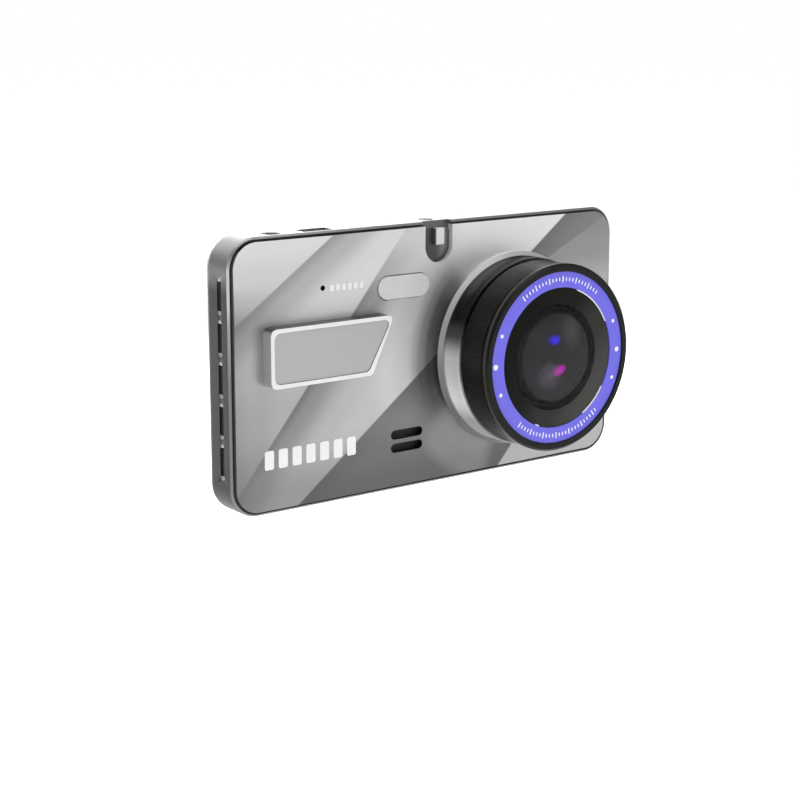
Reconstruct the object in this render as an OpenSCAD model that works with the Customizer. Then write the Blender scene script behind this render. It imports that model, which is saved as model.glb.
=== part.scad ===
// Dash camera: a faceted front cover with a wide lens, a rear housing that carries
// the display, five sprung side keys, and the boards, battery and sockets inside.
// Inside each module X runs right as seen from the lens side, from the body's centre,
// Y runs from the housing's front rim to the back, and Z runs up from the bottom edge.
// in_body() moves that to the part's own origin, the mouth of the bracket bore on top.

/* [Body] */
// Width of the body
body_w = 113; // [105:0.5:140]
// Height of the body
body_h = 62.5; // [60:0.5:80]
// Depth of the body, from the front rim to the back face
body_t = 10.4; // [10.4:0.1:14]
// Radius of the body's corners, seen from the front
corner_r = 7; // [5.5:0.5:9]
// Thickness of the housing's side walls
wall = 1.8; // [1.4:0.1:2.4]
// Radius of the housing's long back edges
back_r = 3; // [1.5:0.1:3.2]
// Chamfer on the housing's front rim
rim_chamfer = 0.4; // [0.2:0.05:0.6]

/* [Front cover] */
// Thickness of the front cover
cover_t = 1.8; // [1.5:0.1:2.2]
// How far the cover stands in front of the housing's rim
cover_proud = 1; // [0.5:0.1:1.5]
// Width of the dark seam between the rim and the cover
seam_w = 0.45; // [0.3:0.05:0.8]
// Tilt of the top left facet, in degrees
corner_tilt = 1.5; // [0.5:0.1:2]
// Tilt of the dark lower facet, in degrees
lower_tilt = 0.7; // [0.2:0.1:0.9]
// Tilt of the facet at the right-hand end, in degrees
right_tilt = 0.6; // [0.2:0.1:0.9]

/* [Lens] */
// Distance of the lens axis from the body's right side
lens_from_right = 32.7; // [30:0.1:34]
// Height of the lens axis above the bottom edge
lens_z = 30.1; // [27:0.1:34]
// Radius of the silver collar
collar_r = 22.6; // [22.4:0.1:24]
// Height of the collar's front edge above the rim plane
collar_f = 7.4; // [6:0.1:9]
// Radius of the black barrel
barrel_r = 22.2; // [21.8:0.1:22.3]
// Distance from the rim plane to the front of the bezel
lens_f = 17.6; // [17.6:0.1:20]
// Outer radius of the coloured ring
ring_r = 20.5; // [19:0.1:20.8]
// Width of the coloured ring
ring_w = 3.75; // [3.5:0.05:3.9]
// Radius of the front glass
front_glass_r = 12.7; // [11.5:0.1:12.9]

/* [Badge] */
// Length of the badge along its top edge
badge_l = 33; // [28:0.1:36]
// Height of the badge
badge_h = 13.4; // [10:0.1:15]
// How much shorter the badge's bottom edge is
badge_slope = 5; // [0:0.1:8]
// How far the badge stands in front of the cover
badge_proud = 3; // [1.5:0.1:3.5]
// Width of the badge's bright rim
badge_rim_w = 1; // [0.6:0.1:1.6]

/* [Fill light and openings] */
// Length of the fill light's window
window_l = 14.6; // [12:0.1:16]
// Height of the fill light's window
window_h = 5.3; // [4:0.1:6.5]
// Diameter of the reset hole
reset_d = 1.1; // [0.9:0.1:1.6]
// Length of each speaker slot
slot_l = 9.3; // [7:0.1:12]
// Height of each speaker slot
slot_h = 2.2; // [1.5:0.1:2.6]
// Distance between the two speaker slots
slot_pitch = 3.2; // [3:0.1:4]

/* [Side keys] */
// Distance between the keys
key_pitch = 9.25; // [8.8:0.05:12]
// Length of a key
key_l = 6.4; // [5:0.1:7]
// Width of a key
key_w = 1.1; // [0.9:0.1:1.6]
// Travel of a key
key_travel = 0.3; // [0.2:0.05:0.4]

/* [Sockets] */
// Diameter of the bracket bore in the top
bracket_d = 3.8; // [3:0.1:4]
// Depth of the bracket bore
bracket_depth = 8; // [6:0.1:9]
// Width of the notch in front of the bracket bore
notch_w = 8; // [6:0.1:9]
// Depth of the notch below the top edge
notch_h = 9.7; // [8:0.1:10]
// Bore of the rear camera's jack
jack_d = 2.6; // [2.5:0.1:3.6]

/* [Hidden] */
$fn = 64;
slack = 0.02;
gap = 0.1;
deep = 30;

// Body
half_w = body_w / 2;
mid_z = body_h / 2;
rim_flat = 0.15;
rim_w = rim_chamfer + rim_flat;
seat_y = 1.2;

// Front cover; positions on it are measured from the body's left side
cover_y = -cover_proud;
cover_in = cover_y + cover_t;
cover_inset = rim_w + seam_w;
skirt_w = 1.4;
post_r = 2;
post_root = 0.2;
post_floor = 0.8;
post_left = 11;
post_right = 6.5;
post_z = 6.3;
posts = [[-half_w + post_left, post_z], [half_w - post_right, post_z], [half_w - post_right, body_h - post_z],
         [-half_w + post_left, mid_z + 15]];
left_x = -half_w;
crease_left = [[25.4, -2.1], [3.9, -17.0]];
crease_mid = [[45.8, -3.0], [2.8, -55.3]];
crease_low = [[57.3, -31.1], [17.3, -61.5]];
crease_right = [[109, -2.8], [91.5, -11.3]];
crease_foot = [[81, -56.5], [77.5, -60.5]];
step_w = 9;
step_depth = 0.25;
lens_x = half_w - lens_from_right;
lens_pad_r = 23.6;

// Badge
badge_left = 8.3;
badge_bottom = 29.2;
badge_sink = 0.6;
badge_recess = 0.2;

// Openings in the cover
window_x = left_x + 46.9;
window_z = body_h - 14.3;
window_lip = 0.25;
window_flange = 0.6;
pipe_l = window_l - 5;
led_w = 2.4;
led_t = 0.9;
reset_x = left_x + 24.3;
reset_z = body_h - 12.6;
reset_r = 0.8;
reset_y = 2.2;
reset_case_t = 2;
reset_floor = 0.6;
reset_free = 0.4;
speaker_x = left_x + 48.2;
speaker_z = 11.7;

// Display stack, counted forward from the back face
glass_t = 0.9;
glass_inset = 4.1;
glass_corner_r = 3;
ledge_t = 0.9;
panel_t = 0.8;
light_t = 1.4;
tray_t = 0.3;
glass_y = body_t - glass_t;
panel_y = glass_y - panel_t;
light_y = panel_y - light_t;
tray_y = light_y - tray_t;
display_w = body_w - 15;
display_h = body_h - 8.1;
display_border = 1;

// Main board
board_t = 1;
board_y = 5.2;
board_edge = 0.4;
board_left = 4.9;
board_right = 2.6;
board_x0 = left_x + board_left;
board_x1 = half_w - board_right;
board_z0 = wall + board_edge;
board_z1 = body_h - wall - board_edge;
board_corner_r = corner_r - wall;
chip_w = 9;
chip_h = 12;
chip_z = post_z + post_r + 1 + chip_h / 2;
can_w = 14;
can_h = 16;
can_t = 2.2;
can_wall = 0.25;
flex_t = 0.15;
screw_r = 0.8;
screw_l = 2.6;
head_r = 1.5;
head_t = 0.6;

// Keys and their switches
key_recess = 0.35;
dish_end = 0.9;
dish_side = 0.25;
key_sunk = 0.3;
flange_t = 0.8;
switch_d = 3.5;
switch_w = 3.4;
switch_l = 6;
key_y = board_y - switch_w / 2;
flange_grow = 0.4;
flange_half = key_l / 2 + flange_grow;
key_step = min(key_pitch, (mid_z - corner_r - flange_half - gap) / 2);
shaft_r = 0.7;
shaft_l = 1.4;
stem_w = 1.4;
stem_l = 3;
stem_free = 0.4;
stem_in = 0.6;
key_face_x = left_x + key_sunk;
flange_x = left_x + wall + gap / 2;
stem_x = flange_x + flange_t + shaft_l;
switch_x = stem_x + key_travel + stem_free;

// Sockets on the top edge, and the card socket on the bottom edge
bracket_x = 0.9;
bracket_y = 4.2;
bracket_wall = 0.8;
notch_floor_y = 1.5;
notch_r = notch_w / 2;
socket_half_w = 5.2;
socket_back_y = bracket_y + bracket_d / 2 + bracket_wall;
socket_z = body_h - 11.5;
neck_r = bracket_d / 2 + 0.7;
port_y = 3.2;
jack_x = left_x + 13.3;
jack_nose_r = 2;
jack_l = 11;
jack_sink = 0.2;
usb_x = left_x + 24.8;
usb_w = 7.7;
usb_t = 3.9;
usb_l = 9;
usb_wall = 0.4;
usb_sink = 0.6;
usb_floor = 1;
mic_x = left_x + 35.8;
mic_r = 2;
mic_t = 1.5;
mic_hole_r = 0.5;
card_x = left_x + 26.5;
card_w = 14;
card_t = 1.9;
card_l = 15;
card_slot_w = 11.4;
card_slot_t = 1.2;

// Speaker and battery
speaker_w = 16;
speaker_h = 12;
speaker_t = 3.2;
speaker_pad_t = 0.6;
cone_w = 12;
cone_h = 8;
battery_w = 26;
battery_h = 22;
battery_t = 3.2;
battery_pad_t = 0.3;
battery_x = left_x + 26;
battery_z = mid_z + 1;

// Lens: distances along the axis are counted forward from the rim plane
web_r = 17;
floor_f = 3;
spigot_r = barrel_r - 1.1;
barrel_in_r = barrel_r - 1.8;
barrel_f0 = collar_f + 0.4;
bezel_f0 = lens_f - 2;
ring_f0 = lens_f - 0.95;
ring_t = 0.55;
ring_in_r = ring_r - ring_w;
baffle_f = lens_f - 1.4;
glass_seat_f = baffle_f - 1.9;
second_r = 8.2;
second_f = 10.2;
third_r = 5.6;
third_f = 6.2;
rear_r = 4.6;
rear_f = 3.4;
filter_y = -0.9;
filter_t = 0.4;
sensor_y = 0.4;
sensor_board_y = 1.5;
sensor_board_t = 1;
holder_r = 9;
holder_bore_r = 7;
holder_f0 = -sensor_board_y;
holder_floor_f = 1.4;
holder_f1 = 9;
holder_flange_r = 21;
collar_screw_r = 19.2;
sensor_side = 8;
sensor_board_side = 20;
sensor_screw_at = 7.6;
sensor_screw_f = -sensor_board_y - sensor_board_t;

module in_body() {
    translate([-bracket_x, -bracket_y, -body_h]) children();
}

// An outline in X and Z, extruded from depth y0 to y1
module slab(y0, y1) {
    translate([0, y1, 0]) rotate([90, 0, 0]) linear_extrude(y1 - y0) children();
}

module block(x0, x1, y0, y1, z0, z1) {
    translate([x0, y0, z0]) cube([x1 - x0, y1 - y0, z1 - z0]);
}

module rounded_rect(w, h, r) {
    square([w - 2 * r, h], center = true);
    square([w, h - 2 * r], center = true);
    for (x = [-1, 1], z = [-1, 1]) translate([x * (w / 2 - r), z * (h / 2 - r)]) circle(r);
}

module body_rect(inset) {
    translate([0, mid_z]) rounded_rect(body_w - 2 * inset, body_h - 2 * inset, corner_r - inset);
}

module stadium(l, h) {
    square([l - h, h], center = true);
    for (x = [-1, 1]) translate([x * (l - h) / 2, 0]) circle(h / 2);
}

// A profile of radius and forward distance, turned about the lens axis
module lens_turned() {
    translate([lens_x, 0, lens_z]) rotate([90, 0, 0]) rotate_extrude($fn = 128) children();
}

module band(r0, r1, f0, f1) {
    translate([r0, f0]) square([r1 - r0, f1 - f0]);
}

module lens_screws(count, at_r, r, f0, f1, start) {
    for (i = [0 : count - 1]) {
        a = start + i * 360 / count;
        translate([lens_x + at_r * cos(a), -f0, lens_z + at_r * sin(a)])
            rotate([90, 0, 0]) cylinder(r = r, h = f1 - f0, $fn = 32);
    }
}

module at_posts() {
    for (p = posts) translate([p[0], 0, p[1]]) rotate([-90, 0, 0]) children();
}

// A shape in Z and Y, extruded along X from x0 to x1 at one key's height
module key_slab(i, x0, x1) {
    translate([x0, key_y, mid_z + (2 - i) * key_step]) rotate([90, 0, 90])
        linear_extrude(x1 - x0) rotate(90) children();
}

// Housing ---------------------------------------------------------------

// The section of the housing's edge: chamfered at the front rim, round at the back
module edge_section(r) {
    difference() {
        square([r, body_t]);
        translate([r, 0]) rotate(45) square(rim_chamfer * sqrt(2), center = true);
        translate([r - back_r, body_t - back_r]) difference() {
            square(back_r + gap);
            circle(back_r);
        }
    }
}

module housing_block() {
    dx = half_w - corner_r;
    dz = mid_z - corner_r;
    translate([0, 0, mid_z]) {
        block(-dx, dx, 0, body_t, -dz, dz);
        for (x = [-1, 1], z = [-1, 1]) translate([x * dx, 0, z * dz])
            rotate([-90, 0, 0]) rotate_extrude($fn = 96) edge_section(corner_r);
        for (s = [0, 1]) mirror([s, 0, 0]) translate([dx, 0, -dz])
            linear_extrude(2 * dz) edge_section(corner_r);
        for (s = [0, 1]) mirror([0, 0, s]) translate([dx, 0, dz])
            rotate([0, -90, 0]) linear_extrude(2 * dx) edge_section(corner_r);
    }
}

module key_slots() {
    for (i = [0 : 4]) {
        key_slab(i, left_x - 1, left_x + key_recess)
            stadium(key_l + 2 * dish_end, key_w + 2 * dish_side);
        key_slab(i, left_x - 1, left_x + wall + 1) stadium(key_l + 2 * gap, key_w + 2 * gap);
    }
}

module notch_outline() {
    translate([bracket_x, body_h - notch_h + notch_r]) circle(notch_r);
    translate([bracket_x - notch_r, body_h - notch_h + notch_r]) square([notch_w, notch_h]);
}

module top_hole(x, y, r) {
    translate([x, y, body_h - wall - 1]) cylinder(r = r, h = wall + 2);
}

module rear_housing() {
    color([0.33, 0.33, 0.34]) in_body() difference() {
        housing_block();
        slab(-1, seat_y) body_rect(rim_w);
        slab(seat_y - 1, glass_y - ledge_t) body_rect(wall);
        slab(0, deep) translate([0, mid_z])
            square([display_w + 2 * gap, display_h + 2 * gap], center = true);
        slab(glass_y, deep) translate([0, mid_z])
            rounded_rect(body_w - 2 * (glass_inset - gap), body_h - 2 * (glass_inset - gap),
                         glass_corner_r + gap);
        key_slots();
        slab(-1, notch_floor_y) notch_outline();
        top_hole(bracket_x, bracket_y, neck_r + slack);
        top_hole(jack_x, port_y, jack_nose_r + gap);
        top_hole(mic_x, port_y, mic_hole_r);
        block(usb_x - usb_w / 2 - gap, usb_x + usb_w / 2 + gap, board_y - usb_t - gap,
              board_y + gap, body_h - wall - 1, body_h + 1);
        block(card_x - card_slot_w / 2 - 0.5, card_x + card_slot_w / 2 + 0.5,
              board_y - card_t + 0.1, board_y - 0.1, -1, wall + 1);
    }
}

module seam_gasket() {
    color([0.05, 0.05, 0.05]) in_body() slab(0.35, seat_y) difference() {
        body_rect(rim_w + slack);
        body_rect(cover_inset - slack);
        notch_outline();
    }
}

// Front cover -----------------------------------------------------------

// A crease is two points: distances from the body's left side and from its top edge
function crease_point(c) = [left_x + c[0][0], body_h + c[0][1]];
function crease_angle(c) = atan2(c[0][1] - c[1][1], c[0][0] - c[1][0]);

module on_crease(c) {
    p = crease_point(c);
    translate([p[0], cover_y, p[1]]) rotate([0, -crease_angle(c), 0]) children();
}

// What stands in front of a plane that leans back from a crease, to one side of it
module facet(c, side, tilt) {
    on_crease(c) rotate([-side * tilt, 0, 0])
        translate([-150, -5, side > 0 ? 0 : -150]) cube([300, 5, 150]);
}

// Everything right of the crease at the lens's foot, up to the crease above the lens
module right_end() {
    on_crease(crease_foot) translate([-150, -10, -150]) cube([300, 20, 150]);
    block(crease_point(crease_foot)[0], half_w + 1, -10, 10, -1, body_h + 1);
}

// Past a crease the face lies a step lower, and a hollow curve leads down to it
module low_step(c, level) {
    hollow_r = (step_w * step_w + step_depth * step_depth) / (2 * step_depth);
    translate([0, level, 0]) on_crease(c) {
        translate([-150, step_depth - hollow_r, -step_w]) rotate([0, 90, 0])
            cylinder(r = hollow_r, h = 300, $fn = 360);
        translate([-150, -5, -200]) cube([300, 5 + step_depth, 200 - step_w]);
    }
}

module cover_facets() {
    facet(crease_left, 1, corner_tilt);
    low_step(crease_left, 0);
    low_step(crease_mid, step_depth);
    translate([0, 2 * step_depth, 0]) {
        difference() {
            facet(crease_low, -1, lower_tilt);
            right_end();
        }
        intersection() {
            facet(crease_right, -1, right_tilt);
            right_end();
        }
    }
}

module badge_outline(inset) {
    x0 = left_x + badge_left + inset;
    x1 = x0 + badge_l - 2 * inset;
    z0 = badge_bottom + inset;
    z1 = badge_bottom + badge_h - inset;
    polygon([
        [x0, z0 + 1.4], [x0 + 0.4, z0 + 0.4], [x0 + 1.4, z0],
        [x1 - badge_slope - 1.2, z0], [x1 - badge_slope - 0.4, z0 + 0.5],
        [x1 - 0.1, z1 - 1.5], [x1 - 0.1, z1 - 0.5], [x1 - 0.9, z1],
        [x0 + 1.4, z1], [x0 + 0.4, z1 - 0.4], [x0, z1 - 1.4]
    ]);
}

module window_outline(grow) {
    translate([window_x, window_z]) stadium(window_l + 2 * grow, window_h + 2 * grow);
}

module front_cover() {
    color([0.72, 0.72, 0.73]) in_body() {
        difference() {
            slab(cover_y, seat_y) body_rect(cover_inset);
            slab(cover_in, deep) body_rect(cover_inset + skirt_w);
            difference() {
                cover_facets();
                slab(-deep, deep) translate([lens_x, lens_z]) circle(lens_pad_r, $fn = 128);
            }
            slab(-deep, deep) translate([lens_x, lens_z]) circle(web_r, $fn = 128);
            slab(-deep, cover_y + badge_sink) badge_outline(-slack);
            slab(-deep, deep) window_outline(0.2);
            slab(-deep, deep) translate([reset_x, reset_z]) circle(reset_d / 2);
            slab(-deep, deep) for (s = [-0.5, 0.5])
                translate([speaker_x, speaker_z + s * slot_pitch]) stadium(slot_l, slot_h);
            slab(-deep, deep) notch_outline();
            lens_screws(3, collar_screw_r, screw_r + slack, -deep, deep, 30);
        }
        at_posts() difference() {
            translate([0, 0, cover_in - post_root]) cylinder(r = post_r, h = board_y - cover_in + post_root);
            translate([0, 0, cover_in + post_floor]) cylinder(r = screw_r + slack, h = deep);
        }
    }
}

module badge_rim() {
    color([0.95, 0.95, 0.95]) in_body() difference() {
        slab(cover_y - badge_proud, cover_y + badge_sink) badge_outline(0);
        slab(-deep, cover_y - badge_proud + 1) badge_outline(badge_rim_w);
    }
}

module badge_plate() {
    color([0.7, 0.7, 0.7]) in_body()
        slab(cover_y - badge_proud + badge_recess, cover_y - badge_proud + 1)
        badge_outline(badge_rim_w + slack);
}

// Fill light ------------------------------------------------------------

module fill_light_window() {
    color([0.85, 0.85, 0.86]) in_body() {
        slab(cover_y + step_depth - window_lip, cover_in) window_outline(0);
        slab(cover_in, cover_in + window_flange) window_outline(0.9);
        slab(cover_in + window_flange, board_y - led_t - gap) translate([window_x, window_z])
            square([pipe_l, window_h - 1.3], center = true);
    }
}

module fill_light_leds() {
    color([1, 0.9, 0.5]) in_body() for (i = [-1 : 1])
        on_board(window_x + i * (pipe_l - led_w) / 2, window_z, led_w, 2, led_t);
}

// Lens ------------------------------------------------------------------

module lens_collar() {
    color([0.6, 0.6, 0.61]) in_body() difference() {
        lens_turned() {
            band(web_r, collar_r - 1.2, cover_proud, floor_f);
            band(spigot_r + gap, collar_r, cover_proud, collar_f - 0.4);
            band(spigot_r + gap, collar_r - 0.4, cover_proud, collar_f);
            translate([collar_r - 0.4, collar_f - 0.4]) circle(0.4, $fn = 24);
            band(spigot_r + gap, lens_pad_r - 0.35, cover_proud, cover_proud + 0.7);
            translate([lens_pad_r - 0.45, cover_proud]) difference() {
                circle(0.45, $fn = 24);
                translate([-2, -2]) square([4, 2]);
            }
        }
        lens_screws(3, collar_screw_r, screw_r + slack, -deep, floor_f - 0.4, 30);
    }
}

module lens_barrel() {
    color([0.05, 0.05, 0.05]) in_body() lens_turned() {
        band(barrel_in_r, spigot_r, floor_f, barrel_f0);
        band(barrel_in_r, barrel_r - 0.3, barrel_f0, bezel_f0);
        band(barrel_in_r, barrel_r, barrel_f0 + 0.3, bezel_f0 - 0.3);
    }
}

module lens_bezel() {
    color([0.04, 0.04, 0.04]) in_body() lens_turned() {
        polygon([
            [ring_in_r + slack, bezel_f0], [barrel_r, bezel_f0], [barrel_r + 0.2, bezel_f0 + 0.2],
            [barrel_r + 0.2, lens_f - 0.5], [barrel_r - 0.3, lens_f], [ring_r + 0.15, lens_f],
            [ring_r + slack, lens_f - 0.15], [ring_r + slack, ring_f0], [ring_in_r + slack, ring_f0]
        ]);
        band(barrel_in_r - 1.6, barrel_in_r - slack, bezel_f0 - 2.6, bezel_f0);
        band(ring_in_r - 1.2, barrel_in_r - slack, bezel_f0 - 0.6, bezel_f0);
    }
}

module accent_ring() {
    color([0.47, 0.45, 1]) in_body() lens_turned()
        band(ring_in_r + slack, ring_r, ring_f0, ring_f0 + ring_t);
}

module lens_baffle() {
    color([0.08, 0.08, 0.07]) in_body() lens_turned() {
        polygon([
            [front_glass_r + slack, glass_seat_f], [front_glass_r + 1.2, glass_seat_f],
            [front_glass_r + 1.2, bezel_f0], [ring_in_r, bezel_f0], [ring_in_r, lens_f - 0.7],
            [front_glass_r + slack, baffle_f]
        ]);
        band(front_glass_r - 0.9, front_glass_r + 1.2, glass_seat_f - 0.8, glass_seat_f);
    }
}

// A lens element: a disc whose front bulges or sinks to a sphere
module element(r, f0, f1, front_r, back_r) {
    lens_turned() difference() {
        intersection() {
            band(0, r, f0, f1);
            translate([0, f1 - front_r]) circle(front_r, $fn = 256);
        }
        translate([0, f0 - sqrt(back_r * back_r - pow(r - 0.8, 2))]) circle(back_r, $fn = 256);
    }
}

module front_element() {
    color([0.1, 0.1, 0.12, 0.6]) in_body() element(front_glass_r, glass_seat_f, lens_f - 0.5, 75, 60);
}

module lens_cell() {
    color([0.07, 0.07, 0.07]) in_body() lens_turned() difference() {
        union() {
            band(0, holder_bore_r - slack, rear_f - 1.2, holder_f1);
            band(0, front_glass_r - 1, holder_f1, glass_seat_f - 0.8);
        }
        polygon([
            [0, 0], [rear_r - 0.6, 0], [rear_r - 0.6, rear_f], [rear_r, rear_f], [rear_r, rear_f + 2],
            [3.4, rear_f + 2], [3.4, third_f], [third_r, third_f], [third_r, third_f + 3.2],
            [4.8, third_f + 3.2], [4.8, second_f], [second_r, second_f], [second_r, second_f + 2],
            [front_glass_r - 2, glass_seat_f - 0.8], [front_glass_r - 2, deep], [0, deep]
        ]);
    }
}

module second_element() {
    color([0.2, 0.2, 0.35, 0.6]) in_body() element(second_r - slack, second_f, second_f + 2.6, 18, 20);
}

module third_element() {
    color([0.35, 0.15, 0.35, 0.6]) in_body() element(third_r - slack, third_f, third_f + 3, 9, 40);
}

module rear_element() {
    color([0.2, 0.2, 0.3, 0.6]) in_body() element(rear_r - slack, rear_f, rear_f + 1.9, 9, 30);
}

module ir_filter() {
    color([0.5, 0.25, 0.3, 0.7]) in_body() slab(filter_y, filter_y + filter_t)
        translate([lens_x, lens_z]) square(sensor_side - slack, center = true);
}

module lens_holder() {
    color([0.09, 0.09, 0.09]) in_body() difference() {
        lens_turned() {
            band(0, holder_flange_r, holder_f0, -cover_in);
            band(0, holder_r, holder_f0, holder_f1);
        }
        lens_turned() band(0, holder_bore_r, holder_floor_f, holder_f1 + 1);
        slab(-holder_floor_f - slack, 1) translate([lens_x, lens_z])
            square(sensor_side - 2, center = true);
        slab(filter_y - slack, filter_y + filter_t) translate([lens_x, lens_z])
            square(sensor_side, center = true);
        slab(filter_y + filter_t - slack, deep) translate([lens_x, lens_z])
            square(sensor_side + 1, center = true);
        lens_screws(3, collar_screw_r, screw_r + slack, -deep, deep, 30);
        lens_screws(2, sensor_screw_at, screw_r + slack, holder_f0 - 1, 0, 45);
    }
}

module image_sensor() {
    color([0.15, 0.2, 0.25]) in_body() slab(sensor_y, sensor_board_y)
        translate([lens_x, lens_z]) square(sensor_side - 0.4, center = true);
}

module sensor_board() {
    color([0.1, 0.3, 0.2]) in_body() difference() {
        slab(sensor_board_y, sensor_board_y + sensor_board_t) translate([lens_x, lens_z])
            square(sensor_board_side, center = true);
        lens_screws(2, sensor_screw_at, screw_r + slack, -deep, deep, 45);
    }
}

module sensor_screws() {
    color([0.75, 0.75, 0.77]) in_body() {
        lens_screws(2, sensor_screw_at, screw_r, sensor_screw_f, -0.2, 45);
        lens_screws(2, sensor_screw_at, head_r, sensor_screw_f - head_t, sensor_screw_f, 45);
    }
}

module collar_screws() {
    color([0.75, 0.75, 0.77]) in_body() {
        lens_screws(3, collar_screw_r, screw_r, holder_f0, floor_f - 0.5, 30);
        lens_screws(3, collar_screw_r, head_r, holder_f0 - head_t, holder_f0, 30);
    }
}

module sensor_flex() {
    fold_y = sensor_board_y + sensor_board_t + flex_t;
    fold_z = lens_z - sensor_board_side / 2 - 5;
    color([0.75, 0.5, 0.15]) in_body() {
        block(lens_x - 3.5, lens_x + 3.5, fold_y - flex_t, fold_y, fold_z, lens_z - 2);
        block(lens_x - 3.5, lens_x + 3.5, fold_y, board_y, fold_z, fold_z + flex_t);
    }
}

// Main board ------------------------------------------------------------

module main_board() {
    color([0.1, 0.35, 0.2]) in_body() difference() {
        slab(board_y, board_y + board_t) translate([(board_x0 + board_x1) / 2, mid_z])
            rounded_rect(board_x1 - board_x0, board_z1 - board_z0, board_corner_r);
        block(bracket_x - socket_half_w - gap, bracket_x + socket_half_w + gap, 0, deep,
              socket_z - gap, body_h);
        at_posts() cylinder(r = screw_r + gap, h = deep);
    }
}

module board_screws() {
    color([0.75, 0.75, 0.77]) in_body() at_posts() {
        translate([0, 0, board_y - screw_l]) cylinder(r = screw_r, h = screw_l + board_t);
        translate([0, 0, board_y + board_t]) cylinder(r = head_r, h = head_t);
    }
}

module on_board(x, z, w, h, t) {
    block(x - w / 2, x + w / 2, board_y - t, board_y, z - h / 2, z + h / 2);
}

module processor() {
    color([0.12, 0.12, 0.13]) in_body() on_board(lens_x, lens_z + 2, 14, 14, 1.3);
}

module memory_chips() {
    color([0.12, 0.12, 0.13]) in_body() for (z = [chip_z, body_h - chip_z])
        on_board(half_w - post_right - chip_w / 2, z, chip_w, chip_h, 1.1);
}

module shield_can() {
    color([0.8, 0.8, 0.82]) in_body() difference() {
        on_board(speaker_x, mid_z, can_w, can_h, can_t);
        translate([0, can_wall, 0])
            on_board(speaker_x, mid_z, can_w - 2 * can_wall, can_h - 2 * can_wall, can_t);
    }
}

module display_flex() {
    fold_y = board_y + board_t + flex_t;
    color([0.75, 0.5, 0.15]) in_body() {
        block(half_w - 26, half_w - 14, board_y + board_t, fold_y, 8, 20);
        block(half_w - 26, half_w - 14, fold_y, tray_y, 8, 8 + flex_t);
    }
}

// Display ---------------------------------------------------------------

module display_tray() {
    color([0.7, 0.7, 0.72]) in_body() difference() {
        slab(tray_y, panel_y) translate([0, mid_z]) square([display_w, display_h], center = true);
        slab(light_y, deep) translate([0, mid_z])
            square([display_w - 2 * tray_t, display_h - 2 * tray_t], center = true);
    }
}

module backlight() {
    color([0.92, 0.92, 0.9]) in_body() slab(light_y, panel_y) translate([0, mid_z])
        square([display_w - 2 * tray_t - 2 * slack, display_h - 2 * tray_t - 2 * slack], center = true);
}

module lcd_panel() {
    color([0.05, 0.05, 0.07]) in_body() slab(panel_y, glass_y) translate([0, mid_z])
        square([display_w - display_border, display_h - display_border], center = true);
}

module back_glass() {
    color([0.02, 0.02, 0.02]) in_body() slab(glass_y, body_t) translate([0, mid_z])
        rounded_rect(body_w - 2 * glass_inset, body_h - 2 * glass_inset, glass_corner_r);
}

// Sockets ---------------------------------------------------------------

module bracket_socket() {
    color([0.5, 0.5, 0.5]) in_body() difference() {
        union() {
            block(bracket_x - socket_half_w, bracket_x + socket_half_w, notch_floor_y, socket_back_y,
                  socket_z, body_h - wall);
            translate([bracket_x, bracket_y, body_h - wall]) cylinder(r = neck_r, h = wall);
            block(bracket_x - 0.6, bracket_x + 2.2, notch_floor_y - 1.2, notch_floor_y,
                  body_h - 5.6, body_h - wall);
        }
        translate([bracket_x, bracket_y, body_h - bracket_depth])
            cylinder(r = bracket_d / 2, h = bracket_depth + 1);
    }
}

module av_jack() {
    color([0.06, 0.06, 0.06]) in_body() difference() {
        union() {
            block(jack_x - 2.5, jack_x + 2.5, board_y - 4, board_y, board_z1 - jack_l, board_z1 + gap);
            translate([jack_x, port_y, board_z1])
                cylinder(r = jack_nose_r, h = body_h - jack_sink - board_z1);
        }
        translate([jack_x, port_y, board_z1 - jack_l + 1]) cylinder(r = jack_d / 2, h = deep);
    }
}

module usb_socket() {
    color([0.78, 0.78, 0.8]) in_body() difference() {
        block(usb_x - usb_w / 2, usb_x + usb_w / 2, board_y - usb_t, board_y,
              body_h - usb_sink - usb_l, body_h - usb_sink);
        block(usb_x - usb_w / 2 + usb_wall, usb_x + usb_w / 2 - usb_wall, board_y - usb_t + usb_wall,
              board_y - usb_wall, body_h - usb_sink - usb_l + usb_floor, body_h + 1);
    }
}

module usb_tongue() {
    mouth_y = board_y - usb_t / 2;
    color([0.06, 0.06, 0.06]) in_body()
        block(usb_x - 2.5, usb_x + 2.5, mouth_y - 0.45, mouth_y + 0.45,
              body_h - usb_sink - usb_l + usb_floor, body_h - usb_sink - 0.8);
}

module card_socket() {
    color([0.78, 0.78, 0.8]) in_body() difference() {
        on_board(card_x, board_z0 + card_l / 2, card_w, card_l, card_t);
        block(card_x - card_slot_w / 2, card_x + card_slot_w / 2, board_y - card_t / 2 - card_slot_t / 2,
              board_y - card_t / 2 + card_slot_t / 2, 0, board_z0 + card_l - 1);
    }
}

module microphone() {
    color([0.7, 0.7, 0.72]) in_body() translate([mic_x, port_y, body_h - wall - mic_t])
        cylinder(r = mic_r, h = mic_t);
}

// Speaker and battery ---------------------------------------------------

module speaker_outline(grow) {
    translate([speaker_x, speaker_z]) rounded_rect(cone_w + grow, cone_h + grow, 2.5 + grow / 2);
}

module speaker_gasket() {
    color([0.1, 0.1, 0.1]) in_body() slab(cover_in, cover_in + speaker_pad_t) difference() {
        speaker_outline(2);
        speaker_outline(0);
    }
}

module speaker_frame() {
    color([0.15, 0.15, 0.15]) in_body() difference() {
        slab(cover_in + speaker_pad_t, cover_in + speaker_pad_t + speaker_t)
            translate([speaker_x, speaker_z]) rounded_rect(speaker_w, speaker_h, 2);
        slab(0, cover_in + speaker_pad_t + speaker_t / 2) speaker_outline(0);
    }
}

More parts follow.
